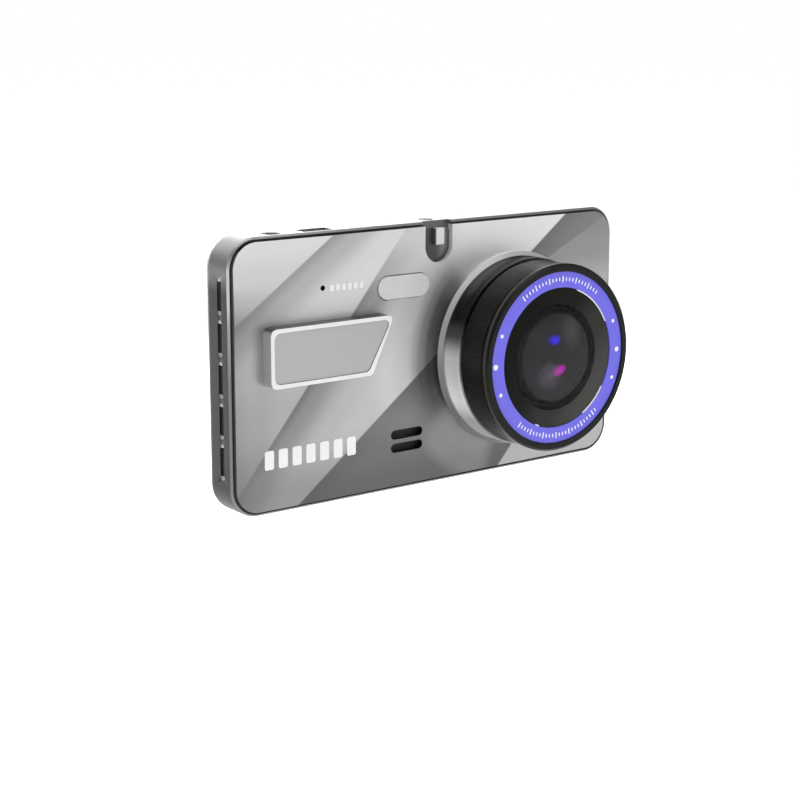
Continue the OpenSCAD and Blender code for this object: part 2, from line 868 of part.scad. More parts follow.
module speaker_cone() {
    color([0.25, 0.25, 0.26]) in_body()
        slab(cover_in + speaker_pad_t + 0.4, cover_in + speaker_pad_t + 0.6) speaker_outline(-2 * slack);
}

module battery() {
    color([0.75, 0.76, 0.78]) in_body()
        slab(board_y - battery_pad_t - battery_t, board_y - battery_pad_t)
        translate([battery_x, battery_z]) rounded_rect(battery_w, battery_h, 1);
}

module battery_pad() {
    color([0.9, 0.88, 0.8]) in_body() slab(board_y - battery_pad_t, board_y)
        translate([battery_x, battery_z]) square([battery_w - 4, battery_h - 4], center = true);
}

// Keys ------------------------------------------------------------------

module key_switches() {
    color([0.2, 0.2, 0.2]) in_body() for (i = [0 : 4]) difference() {
        key_slab(i, switch_x - stem_free, switch_x + switch_d) square([switch_l, switch_w], center = true);
        key_slab(i, switch_x - 1, switch_x + stem_in + key_travel)
            square([stem_l + 2 * gap, stem_w + 2 * gap], center = true);
    }
}

module side_key(i) {
    color([0.3, 0.3, 0.31]) in_body() {
        key_slab(i, key_face_x, flange_x) stadium(key_l, key_w);
        key_slab(i, flange_x, flange_x + flange_t)
            stadium(2 * flange_half, key_w + 2 * flange_grow);
        key_slab(i, flange_x + flange_t, stem_x) circle(shaft_r, $fn = 32);
    }
}

module switch_stem(i) {
    color([0.9, 0.9, 0.88]) in_body()
        key_slab(i, stem_x, switch_x + stem_in - stem_free) square([stem_l, stem_w], center = true);
}

module reset_switch() {
    color([0.2, 0.2, 0.2]) in_body() difference() {
        on_board(reset_x, reset_z - 0.5, 4, 4, reset_case_t);
        translate([reset_x, 0, reset_z]) rotate([-90, 0, 0])
            cylinder(r = reset_r + gap / 2, h = board_y - reset_floor);
    }
}

module reset_stem() {
    color([0.9, 0.9, 0.88]) in_body() translate([reset_x, reset_y, reset_z]) rotate([-90, 0, 0])
        cylinder(r = reset_r, h = board_y - reset_floor - reset_free - reset_y);
}

front_cover();
seam_gasket();
rear_housing();
back_glass();
lcd_panel();
backlight();
display_tray();
badge_rim();
badge_plate();
fill_light_window();
fill_light_leds();
lens_collar();
lens_barrel();
lens_bezel();
accent_ring();
lens_baffle();
front_element();
lens_cell();
second_element();
third_element();
rear_element();
ir_filter();
lens_holder();
image_sensor();
sensor_board();
sensor_screws();
collar_screws();
sensor_flex();
main_board();
board_screws();
processor();
memory_chips();
shield_can();
display_flex();
card_socket();
usb_socket();
usb_tongue();
av_jack();
microphone();
speaker_frame();
speaker_cone();
speaker_gasket();
battery();
battery_pad();
bracket_socket();
key_switches();
reset_switch();
reset_stem();
side_key(0);  // power_key
side_key(1);  // menu_key
side_key(2);  // up_key
side_key(3);  // ok_key
side_key(4);  // down_key
switch_stem(0);  // power_stem
switch_stem(1);  // menu_stem
switch_stem(2);  // up_stem
switch_stem(3);  // ok_stem
switch_stem(4);  // down_stem
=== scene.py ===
import math
import bpy
import bmesh
from mathutils import Matrix, Vector
from mathutils.bvhtree import BVHTree


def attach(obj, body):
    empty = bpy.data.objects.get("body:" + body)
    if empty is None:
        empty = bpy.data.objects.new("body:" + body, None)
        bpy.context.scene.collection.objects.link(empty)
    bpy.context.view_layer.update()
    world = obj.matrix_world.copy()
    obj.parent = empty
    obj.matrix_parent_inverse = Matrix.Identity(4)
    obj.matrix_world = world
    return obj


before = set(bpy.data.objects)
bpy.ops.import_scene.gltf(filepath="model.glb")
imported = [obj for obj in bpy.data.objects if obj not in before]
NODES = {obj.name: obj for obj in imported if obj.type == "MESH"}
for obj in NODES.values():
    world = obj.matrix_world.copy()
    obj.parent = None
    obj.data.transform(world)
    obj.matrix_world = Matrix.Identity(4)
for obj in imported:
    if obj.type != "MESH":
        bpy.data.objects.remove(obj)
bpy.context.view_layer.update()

# The part's frame starts at the mouth of the bracket bore. "Body" coordinates, in mm, start at the
# middle of the body's bottom edge on the housing's front rim: X right, Y back, Z up.
BRACKET_X, BRACKET_Y, BODY_H = 0.9, 4.2, 62.5


def at(x, y, z):
    return Vector(((x - BRACKET_X) / 1000, (y - BRACKET_Y) / 1000, (z - BODY_H) / 1000))


# Places in body mm: the lens axis, the front of its bezel and of the coloured ring, the reset hole,
# the left side of the housing, the middle height, and the row of keys.
LENS_X, LENS_Z, LENS_F = 23.8, 30.1, 17.6
RING_Y = -(LENS_F - 0.4)
RESET_X, RESET_Z, RESET_R = -32.2, 49.9, 0.62
LEFT_X, MID_Z = -56.5, BODY_H / 2
KEY_Y, KEY_PITCH, KEY_HALF = 3.5, 9.25, 3.2

# Creases of the front cover: x0, z0, x1, z1 in body mm
CREASE_LEFT = (-31.1, 60.4, -52.6, 45.5)
CREASE_MID = (-10.7, 59.5, -53.7, 7.2)
CREASE_LOW = (0.8, 31.4, -39.2, 1.0)
CREASE_RIGHT = (52.5, 59.7, 35.0, 51.2)
CREASE_FOOT = (24.5, 6.0, 21.0, 2.0)

# ---------------------------------------------------------------- materials


class Mat:
    """A node material with short helpers. Coordinates are body millimetres."""

    def __init__(self, name, rough=0.4, metal=0.0, color=(0.5, 0.5, 0.5), **sockets):
        self.mat = bpy.data.materials.new(name)
        self.mat.use_nodes = True
        self.tree = self.mat.node_tree
        self.bsdf = self.tree.nodes["Principled BSDF"]
        self.bsdf.inputs["Roughness"].default_value = rough
        self.bsdf.inputs["Metallic"].default_value = metal
        self.bsdf.inputs["Base Color"].default_value = (*color, 1)
        for key, value in sockets.items():
            self.bsdf.inputs[key.replace("_", " ")].default_value = value
        self._pos = None
        self._vec = None

    def new(self, kind):
        return self.tree.nodes.new(kind)

    def link(self, a, b):
        self.tree.links.new(a, b)

    def put(self, socket, value):
        if hasattr(value, "links"):
            self.link(value, socket)
        else:
            socket.default_value = value

    def math(self, op, a, b=None):
        n = self.new("ShaderNodeMath")
        n.operation = op
        self.put(n.inputs[0], a)
        if b is not None:
            self.put(n.inputs[1], b)
        return n.outputs[0]

    def product(self, first, *factors):
        for factor in factors:
            first = self.math("MULTIPLY", first, factor)
        return first

    def within(self, value, centre, half):
        """1 where the value is less than `half` from `centre`, 0 elsewhere."""
        return self.math("LESS_THAN", self.math("ABSOLUTE", self.math("ADD", value, -centre)), half)

    def length(self, a, b):
        return self.math("SQRT", self.math("ADD", self.math("MULTIPLY", a, a), self.math("MULTIPLY", b, b)))

    def normal(self):
        """The three components of the shading normal."""
        sep = self.new("ShaderNodeSeparateXYZ")
        self.link(self.new("ShaderNodeNewGeometry").outputs["Normal"], sep.inputs[0])
        return sep.outputs

    def xyz(self):
        """Body coordinates in mm, as three outputs."""
        if self._pos is None:
            tc = self.new("ShaderNodeTexCoord")
            scale = self.new("ShaderNodeVectorMath")
            scale.operation = "MULTIPLY_ADD"
            self.link(tc.outputs["Object"], scale.inputs[0])
            scale.inputs[1].default_value = (1000, 1000, 1000)
            scale.inputs[2].default_value = (BRACKET_X, BRACKET_Y, BODY_H)
            sep = self.new("ShaderNodeSeparateXYZ")
            self.link(scale.outputs[0], sep.inputs[0])
            self._vec = scale.outputs[0]
            self._pos = sep.outputs
        return self._pos

    def vec(self):
        self.xyz()
        return self._vec

    def past(self, line):
        """Distance in mm past a crease line (x0, z0, x1, z1), positive to its lower right."""
        x, _, z = self.xyz()
        x0, z0, x1, z1 = line
        a = math.atan2(z0 - z1, x0 - x1) if x0 > x1 else math.atan2(z1 - z0, x1 - x0)
        nx, nz = math.sin(a), -math.cos(a)
        s = self.math("MULTIPLY", x, nx)
        t = self.math("MULTIPLY_ADD", z, nz)
        self.put(t.node.inputs[2], s)
        return self.math("ADD", t, -(x0 * nx + z0 * nz))

    def ramp(self, value, stops, low=0.0, high=1.0, smooth=True):
        """Piecewise curve of a number: stops are (position, grey or colour), position in low..high."""
        m = self.new("ShaderNodeMapRange")
        m.clamp = True
        self.put(m.inputs["Value"], value)
        m.inputs["From Min"].default_value = low
        m.inputs["From Max"].default_value = high
        r = self.new("ShaderNodeValToRGB")
        r.color_ramp.interpolation = "EASE" if smooth else "LINEAR"
        els = r.color_ramp.elements
        while len(els) < len(stops):
            els.new(0.5)
        for e, (p, c) in zip(els, stops):
            e.position = (p - low) / (high - low)
            e.color = (c, c, c, 1) if not hasattr(c, "__len__") else (*c, 1)
        self.link(m.outputs[0], r.inputs[0])
        return r.outputs[0]

    def mix(self, f, a, b, kind="MIX"):
        n = self.new("ShaderNodeMix")
        n.data_type = "RGBA"
        n.blend_type = kind
        self.put(n.inputs["Factor"], f)
        for i, v in ((6, a), (7, b)):
            if hasattr(v, "links"):
                self.link(v, n.inputs[i])
            else:
                n.inputs[i].default_value = (v, v, v, 1) if not hasattr(v, "__len__") else (*v, 1)
        return n.outputs[2]

    def noise(self, scale, detail=3.0, stretch=(1, 1, 1)):
        """Noise in body mm: scale is cells per mm."""
        m = self.new("ShaderNodeVectorMath")
        m.operation = "MULTIPLY"
        self.link(self.vec(), m.inputs[0])
        m.inputs[1].default_value = stretch
        n = self.new("ShaderNodeTexNoise")
        n.inputs["Scale"].default_value = scale
        n.inputs["Detail"].default_value = detail
        n.inputs["Roughness"].default_value = 0.55
        self.link(m.outputs[0], n.inputs["Vector"])
        return n.outputs["Fac"]

    def rough(self, value, low, high):
        """Roughness that follows a noise between low and high."""
        m = self.new("ShaderNodeMapRange")
        self.put(m.inputs["Value"], value)
        m.inputs["From Min"].default_value = 0.3
        m.inputs["From Max"].default_value = 0.7
        m.inputs["To Min"].default_value = low
        m.inputs["To Max"].default_value = high
        self.link(m.outputs[0], self.bsdf.inputs["Roughness"])

    def patches(self, value, low, high):
        """A tone that follows a noise between low and high."""
        return self.ramp(value, [(0.3, low), (0.7, high)], 0.3, 0.7, False)

    def bump(self, height, distance, strength=1.0, prior=None):
        n = self.new("ShaderNodeBump")
        n.inputs["Strength"].default_value = strength
        n.inputs["Distance"].default_value = distance
        self.put(n.inputs["Height"], height)
        if prior is not None:
            self.link(prior, n.inputs["Normal"])
        self.link(n.outputs[0], self.bsdf.inputs["Normal"])
        return n.outputs[0]

    def flat_faces(self, axis, limit, direction):
        """The shading normal, but exactly `direction` on faces that point that way within `limit`."""
        geometry = self.new("ShaderNodeNewGeometry")
        sep = self.new("ShaderNodeSeparateXYZ")
        self.link(geometry.outputs["True Normal"], sep.inputs[0])
        toward = self.math("MULTIPLY", sep.outputs[axis], direction[axis])
        flat = self.new("ShaderNodeMix")
        flat.data_type = "VECTOR"
        self.link(self.math("GREATER_THAN", toward, limit), flat.inputs["Factor"])
        self.link(geometry.outputs["Normal"], flat.inputs[4])
        flat.inputs[5].default_value = direction
        return flat.outputs[1]

    def color(self, value):
        self.link(value, self.bsdf.inputs["Base Color"])


def tinted(m, base, n, amount):
    """Base colour with slight lighter and darker patches."""
    lo = tuple(c * (1 - amount) for c in base)
    hi = tuple(min(1, c * (1 + amount)) for c in base)
    m.color(m.patches(n, lo, hi))


def simple(name, base, rough, metal, scale, depth, amount, stretch=(1, 1, 1), **kw):
    """Plain material: grain of `scale` cells per mm, `depth` mm deep, and patches lighter or darker by
    `amount`."""
    m = Mat(name, rough, metal, base, **kw)
    m.bump(m.noise(scale, 4, stretch), depth / 1000)
    m.rough(m.noise(scale / 9, 3, stretch), max(0.03, rough - 0.07), min(1, rough + 0.07))
    tinted(m, base, m.noise(scale / 12, 3), amount)
    return m.mat


def cover_material():
    """Silver paint with painted light and shade: its own run of light and dark on each facet, painted
    reflection and shade from the lens beside it, and painted shade on the walls of its edges, speaker slots
    and reset hole.
    """
    m = Mat("cover_silver", 0.38, 0.55, Coat_Weight=0.15, Coat_Roughness=0.25)
    x, _, z = m.xyz()
    past_left, past_mid, past_low = m.past(CREASE_LEFT), m.past(CREASE_MID), m.past(CREASE_LOW)
    past_right, past_foot = m.past(CREASE_RIGHT), m.past(CREASE_FOOT)

    def step(d, soft=0.25):
        r = m.new("ShaderNodeMapRange")
        r.interpolation_type = "SMOOTHSTEP"
        m.put(r.inputs["Value"], d)
        r.inputs["From Min"].default_value = -soft
        r.inputs["From Max"].default_value = soft
        return r.outputs[0]

    # painted light and shade: each facet has its own run of light and dark, as studio light falls on a folded
    # sheet
    corner = m.ramp(z, [(44, 0.40), (48, 0.50), (53, 0.60), (61, 0.70)], 44, 61)
    along = m.ramp(z, [(6, 0.26), (22, 0.40), (40, 0.58), (54, 0.70), (61, 0.72)], 6, 61)
    fold = m.ramp(past_left, [(0, 0.45), (4, 0.64), (10, 0.95), (13, 1.0)], 0, 13)
    upper = m.mix(1.0, along, fold, "MULTIPLY")
    near = m.ramp(z, [(6, 0.20), (24, 0.165), (46, 0.235), (53, 0.42), (60, 0.60)], 6, 60)
    far = m.ramp(z, [(4, 0.28), (18, 0.49), (36, 0.60), (46, 0.54), (57, 0.70)], 4, 57)
    bright = m.product(m.ramp(z, [(48, 0.0), (57, 1.0)], 48, 57), m.ramp(x, [(-2, 0.0), (10, 1.0)], -2, 10))
    far = m.mix(bright, far, 0.81)
    middle = m.mix(m.ramp(past_mid, [(0, 0.0), (3, 0.25), (11, 0.85), (17, 1.0)], 0, 17), near, far)
    lower = m.ramp(past_low, [(0, 0.125), (6, 0.150), (16, 0.155), (28, 0.15)], 0, 28)
    end = m.ramp(z, [(0, 0.42), (26, 0.46), (44, 0.42), (52, 0.29), (60, 0.25)], 0, 60)
    tone = m.mix(step(past_left), corner, upper)
    tone = m.mix(step(past_mid), tone, middle)
    # painted shade: darker towards the left edge, below the top
    edge = m.ramp(x, [(-56, 0.74), (-50, 0.86), (-43, 1.0)], -56, -43)
    edge = m.mix(m.ramp(z, [(44, 0.0), (54, 1.0)], 44, 54), edge, 1.0)
    tone = m.mix(1.0, tone, edge, "MULTIPLY")
    lower = m.mix(1.0, lower, m.ramp(z, [(2, 0.70), (10, 0.94), (18, 1.36)], 2, 18), "MULTIPLY")
    tone = m.mix(step(past_low), tone, lower)
    right = m.math("MAXIMUM", step(past_foot), step(m.math("ADD", x, -CREASE_FOOT[0])))
    tone = m.mix(m.product(step(past_right), right), tone, end)

    # painted reflection and shade of the dark barrel darken the cover at the left of the lens; painted light
    # lifts it a little further out on that side, and a painted glow of the bright collar lightens it at the
    # lower left
    radius, _, dx, dz = lens_polar(m)

    def toward(angle):
        """Cosine of the angle between a place's direction from the lens and the given one."""
        a = math.radians(angle)
        dot = m.math("ADD", m.math("MULTIPLY", dx, math.cos(a)), m.math("MULTIPLY", dz, math.sin(a)))
        return m.math("DIVIDE", dot, radius)

    ring = m.ramp(radius, [(24, 0.82), (26, 0.74), (28, 0.40), (30, 0.13), (32, 0.0)], 24, 32)
    side = m.ramp(toward(170), [(0.72, 0.0), (0.86, 0.75), (0.94, 1.0)], 0.72, 0.94)
    shade = m.mix(1.0, ring, side, "MULTIPLY")
    lift = m.ramp(radius, [(28, 0.0), (32, 0.38), (36, 0.22), (44, 0.0)], 28, 44)
    lift = m.product(lift, side, m.math("SUBTRACT", 1.0, step(past_low)))
    tone = m.mix(lift, tone, 1.0)
    tone = m.mix(shade, tone, 0.012)
    halo = m.ramp(radius, [(25, 1.0), (31, 0.8), (36, 0.0)], 25, 36)
    low = m.ramp(toward(234), [(0.90, 0.0), (0.97, 1.0)], 0.90, 0.97)
    tone = m.mix(m.product(halo, low, 0.13), tone, 1.0)

    # painted shade: the walls of the cover's edges, of the speaker slots and of the reset hole are painted
    # dark
    _, front, up = m.normal()
    wall = m.math("LESS_THAN", m.math("ABSOLUTE", front), 0.45)
    ends = m.product(wall, m.math("GREATER_THAN", m.math("ABSOLUTE", x), 53.5))
    edges = m.product(wall, m.math("GREATER_THAN", m.math("ABSOLUTE", m.math("ADD", z, -MID_Z)), 28.5),
                      m.math("GREATER_THAN", m.math("ABSOLUTE", up), 0.5))
    slots = m.product(m.within(x, -8.5, 5.5), m.within(z, 11.2, 4.5))
    hole = m.length(m.math("ADD", x, -RESET_X), m.math("ADD", z, -RESET_Z))
    tone = m.mix(m.product(wall, slots), tone, 0.01)
    tone = m.mix(m.math("LESS_THAN", hole, RESET_R), tone, 0.002)
    tone = m.mix(ends, tone, 0.15)
    tone = m.mix(edges, tone, 0.02)

    flakes = m.noise(9, 2)
    tone = m.mix(0.05, tone, m.patches(flakes, 0.2, 0.95), "OVERLAY")
    tone = m.mix(0.04, tone, m.patches(m.noise(0.05, 3), 0.2, 0.95), "OVERLAY")
    m.color(tone)
    m.rough(m.noise(0.6, 3), 0.35, 0.42)
    # the facets are nearly flat, so the front shades as flat
    m.bump(flakes, 0.000002, 0.5, m.flat_faces(1, 0.97, (0, -1, 0)))
    return m.mat


def housing_material():
    """Grey paint with painted shade, darkest low on the left side and lighter near the top; the chamfer cut
    bright, with a painted highlight strongest high on the side; and painted highlights at the ends of the key
    dishes.
    """
    m = Mat("housing_paint", 0.42, 0.45, Coat_Weight=0.1, Coat_Roughness=0.3)
    m.bump(m.noise(8, 4), 0.000002, 0.8, m.flat_faces(2, 0.995, (0, 0, 1)))
    x, y, z = m.xyz()
    paint_and_shade = m.patches(m.noise(0.5, 3), 0.92, 1.0)
    # painted shade: darker low on the left side, lighter near the top
    shade = m.ramp(z, [(0, 0.018), (50, 0.028), (55, 0.19), (62.5, 0.25)], 0, 62.5)
    shade = m.mix(m.ramp(x, [(-50, 0.0), (0, 1.0)], -50, 0), shade, 0.13)
    paint_and_shade = m.mix(1.0, paint_and_shade, shade, "MULTIPLY")
    # the chamfer is cut bright, and a painted highlight on it changes with height
    chamfer = m.ramp(y, [(0.38, 1.0), (0.44, 0.0)], 0.38, 0.44, False)
    height = m.ramp(z, [(30, 0.34), (42, 0.55), (49, 1.0), (56, 1.0), (59.5, 0.1)], 30, 59.5)
    # painted highlights at the dishes' ends, which lie between the keys' ends and the next dish, inside the
    # left face
    along = m.math("PINGPONG", m.math("ADD", z, -MID_Z), KEY_PITCH / 2)
    ends = m.product(m.math("GREATER_THAN", along, KEY_HALF + 0.05),
                     m.math("LESS_THAN", along, KEY_HALF + 0.95), m.within(y, KEY_Y, 0.95))
    ends = m.product(ends, m.math("GREATER_THAN", x, LEFT_X + 0.03), m.math("LESS_THAN", x, LEFT_X + 0.6),
                     m.within(z, MID_Z, 2 * KEY_PITCH + KEY_HALF + 1.2))
    cut_and_highlight = m.math("MAXIMUM", m.product(chamfer, height), ends)
    m.color(m.mix(cut_and_highlight, paint_and_shade, 0.62))
    rough = m.math("MULTIPLY_ADD", cut_and_highlight, -0.15)
    m.put(rough.node.inputs[2], 0.42)
    m.link(rough, m.bsdf.inputs["Roughness"])
    return m.mat


def badge_rim_material():
    """White front rim; its side walls are painted dark as shade and reflection, darkest on top."""
    m = Mat("badge_rim_white", 0.35, 0.0, Coat_Weight=0.1)
    _, front, up = m.normal()
    wall = m.ramp(front, [(-0.80, 0.0), (-0.60, 1.0)], -0.80, -0.60, False)
    # painted shade and reflection on the walls, darkest on top
    shade = m.ramp(up, [(-0.2, 0.42), (0.2, 0.34), (0.5, 0.02), (0.8, 0.003)], -0.2, 0.8, False)
    m.color(m.mix(wall, m.patches(m.noise(0.5, 3), 0.84, 0.88), shade))
    m.rough(m.noise(0.8, 3), 0.26, 0.36)
    m.bump(m.noise(6, 3), 0.0000005, 0.5)
    return m.mat


def lens_polar(m):
    """Distance from the lens axis in mm, the angle round it in degrees, and the distance's two parts."""
    x, _, z = m.xyz()
    dx, dz = m.math("ADD", x, -LENS_X), m.math("ADD", z, -LENS_Z)
    return m.length(dx, dz), m.math("MULTIPLY", m.math("ARCTAN2", dz, dx), 180 / math.pi), dx, dz


def key_material():
    """Dark key with a painted highlight: its front edge catches a little light."""
    m = Mat("key_dark", 0.5, 0.0, Specular_IOR_Level=0.15)
    _, y, _ = m.xyz()
    # painted highlight along the front edge
    m.color(m.ramp(y, [(KEY_Y - 0.5, 0.03), (KEY_Y - 0.35, 0.02), (KEY_Y - 0.25, 0.004), (KEY_Y + 0.6, 0.003)],
                   KEY_Y - 0.5, KEY_Y + 0.6, False))
    m.bump(m.noise(6, 3), 0.000001, 0.5)
    m.rough(m.noise(0.8, 3), 0.35, 0.5)
    return m.mat


def socket_material():
    """Bracket socket with painted shade, darkest at its left and lighter to its right, and a light tab."""
    m = Mat("socket_grey", 0.4, 0.1)
    x, _, z = m.xyz()
    tab = m.product(m.within(x, 1.95, 1.2), m.math("GREATER_THAN", z, 56.8))
    # painted shade: darkest at the left of the socket
    back = m.ramp(x, [(-3, 0.05), (1, 0.08), (5, 0.30)], -3, 5)
    m.color(m.mix(tab, back, 0.78))
    m.bump(m.noise(6, 3), 0.000001, 0.5)
    m.rough(m.noise(0.8, 3), 0.35, 0.45)
    return m.mat


def bezel_material():
    """Black rim with a painted highlight: a lighter olive line round its side, just behind the front edge."""
    m = Mat("bezel_black", 0.35, 0.0, Specular_IOR_Level=0.18)
    _, y, _ = m.xyz()
    radius = lens_polar(m)[0]
    # painted highlight along the side, just behind the front edge
    line = m.ramp(y, [(-17.2, 0.0), (-16.9, 1.0), (-16.5, 1.0), (-16.2, 0.0)], -17.2, -16.2, False)
    line = m.product(line, m.math("GREATER_THAN", radius, 21.6))
    m.color(m.mix(line, (0.005, 0.005, 0.0046), (0.055, 0.055, 0.042)))
    m.bump(m.noise(6, 3), 0.000001, 0.5)
    m.rough(m.noise(0.8, 3), 0.3, 0.4)
    return m.mat


def baffle_material():
    """Black dish with painted shade, darkest at its upper left and a little lighter towards its lower right.
    """
    m = Mat("baffle_black", 0.7, Specular_IOR_Level=0.06)
    radius, _, dx, dz = lens_polar(m)
    slant = m.math("SUBTRACT", m.math("MULTIPLY", dx, 0.8), m.math("MULTIPLY", dz, 0.6))
    # painted shade: darker to the upper left
    m.color(m.ramp(slant, [(-16, (0.006, 0.0065, 0.005)), (-4, (0.012, 0.0125, 0.011)),
                           (6, (0.040, 0.040, 0.037)), (16, (0.075, 0.075, 0.070))], -16, 16))
    rings = m.math("SINE", m.math("MULTIPLY", radius, 22.0))
    first = m.bump(rings, 0.000004, 0.5)
    m.bump(m.noise(9, 3), 0.000003, 0.6, first)
    m.rough(m.noise(0.8, 3), 0.62, 0.78)
    return m.mat


def coated_material(name, base, painted_glints, clear=0.0):
    """Dark coated glass with painted glints, painted reflections that also glow. A glint is (dx, dz, along,
    across, tilt, colour), in mm and degrees, from the lens axis. `clear` is how much of what lies behind shows
    through."""
    m = Mat(name, 0.1, 0.0, base, IOR=1.4, Specular_IOR_Level=0.12)
    radius, _, dx, dz = lens_polar(m)
    if clear:
        m.put(m.bsdf.inputs["Alpha"], m.ramp(radius, [(10.2, 1 - clear), (10.8, 0.2), (13, 0.2)], 10.2, 13))
    tone = m.patches(m.noise(0.2, 2), tuple(c * 0.9 for c in base), tuple(c * 1.1 for c in base))
    glow = None
    # painted glints: soft painted reflections in the coating, which also glow
    for sx, sz, along, across, tilt, colour in painted_glints:
        a = math.radians(tilt)
        px, pz = m.math("ADD", dx, -sx), m.math("ADD", dz, -sz)
        u = m.math("ADD", m.math("MULTIPLY", px, math.cos(a) / along),
                   m.math("MULTIPLY", pz, math.sin(a) / along))
        v = m.math("SUBTRACT", m.math("MULTIPLY", pz, math.cos(a) / across),
                   m.math("MULTIPLY", px, math.sin(a) / across))
        f = m.ramp(m.length(u, v), [(0, 1.0), (0.45, 0.55), (1, 0.0)], 0, 1)
        tone = m.mix(f, tone, colour)
        painted_glint = m.mix(f, 0.0, colour)
        glow = painted_glint if glow is None else m.mix(1.0, glow, painted_glint, "ADD")
    m.color(tone)
    m.link(glow, m.bsdf.inputs["Emission Color"])
    m.bsdf.inputs["Emission Strength"].default_value = 0.3
    m.rough(m.noise(0.4, 2), 0.04, 0.09)
    return m.mat


def barrel_material():
    """Black paint, with a fine knurl round the grip."""
    m = Mat("barrel_black", 0.36, 0.0, Specular_IOR_Level=0.22)
    _, y, _ = m.xyz()
    _, _, dx, dz = lens_polar(m)
    wave = m.math("SINE", m.math("MULTIPLY", m.math("ARCTAN2", dz, dx), 220.0))
    grip = m.ramp(y, [(-15.4, 0.0), (-15.0, 1.0), (-9.2, 1.0), (-8.8, 0.0)], -15.4, -8.8, False)
    first = m.bump(m.product(wave, grip), 0.00003, 0.25)
    m.bump(m.noise(7, 3), 0.000004, 0.6, first)
    m.rough(m.noise(0.7, 3), 0.27, 0.4)
    tinted(m, (0.006, 0.006, 0.0062), m.noise(0.6, 3), 0.15)
    return m.mat


def ring_material():
    """Violet blue paint of the ring round the lens."""
    m = Mat("ring_violet", 0.42, 0.0, Coat_Weight=0.1, Coat_Roughness=0.3)
    m.bump(m.noise(6, 3), 0.000003, 0.5)
    m.rough(m.noise(0.8, 3), 0.37, 0.47)
    tinted(m, (0.145, 0.132, 0.80), m.noise(0.4, 3), 0.05)
    return m.mat


def collar_material():
    """Silver wall with a painted reflection that goes black over the top left, above a painted highlight on
    the fillet at its foot, brightest at the top left, with a painted shade line in the crease between them.
    """
    m = Mat("collar_silver", 0.35, 0.0, Specular_IOR_Level=0.2)
    _, y, _ = m.xyz()
    _, angle, _, _ = lens_polar(m)
    turn = m.math("PINGPONG", m.math("ADD", angle, 240.0), 180.0)
    # painted reflection round the wall, black over the top left
    wall = m.ramp(turn, [(0, 0.012), (14, 0.005), (34, 0.005), (44, 0.06), (60, 0.60), (84, 0.80),
                         (104, 0.34), (150, 0.26), (180, 0.26)], 0, 180)
    # painted highlight on the fillet at the foot, with a painted shade line in the crease above it
    foot = m.ramp(y, [(-2.1, 0.0), (-1.75, 1.0)], -2.1, -1.75, False)
    crease = m.ramp(y, [(-2.6, 0.0), (-2.1, 0.75), (-1.75, 0.0)], -2.6, -1.75, False)
    fillet = m.ramp(turn, [(0, 0.6), (50, 0.4), (70, 0.24), (95, 0.16), (180, 0.2)], 0, 180)
    m.color(m.mix(foot, m.mix(crease, wall, 0.03), fillet))
    m.rough(m.noise(0.6, 3), 0.26, 0.36)
    return m.mat


def badge_plate_material():
    """Grey plate, brushed along its length."""
    m = Mat("badge_plate", 0.5, 0.2)
    brushed = m.noise(2.2, 3, (0.25, 1, 6))
    m.bump(brushed, 0.000002, 0.4)
    m.rough(brushed, 0.45, 0.56)
    tinted(m, (0.46, 0.46, 0.46), brushed, 0.04)
    return m.mat


def glass_material(name, tint, amount, coat):
    """Coated lens glass: clear, with a tinted reflection."""
    m = Mat(name, 0.02, 0.0, IOR=1.5, Transmission_Weight=amount,
            Coat_Weight=0.04, Coat_Roughness=0.03, Coat_Tint=(*coat, 1))
    m.rough(m.noise(0.3, 3), 0.012, 0.032)
    tinted(m, tint, m.noise(0.2, 2), 0.06)
    return m.mat


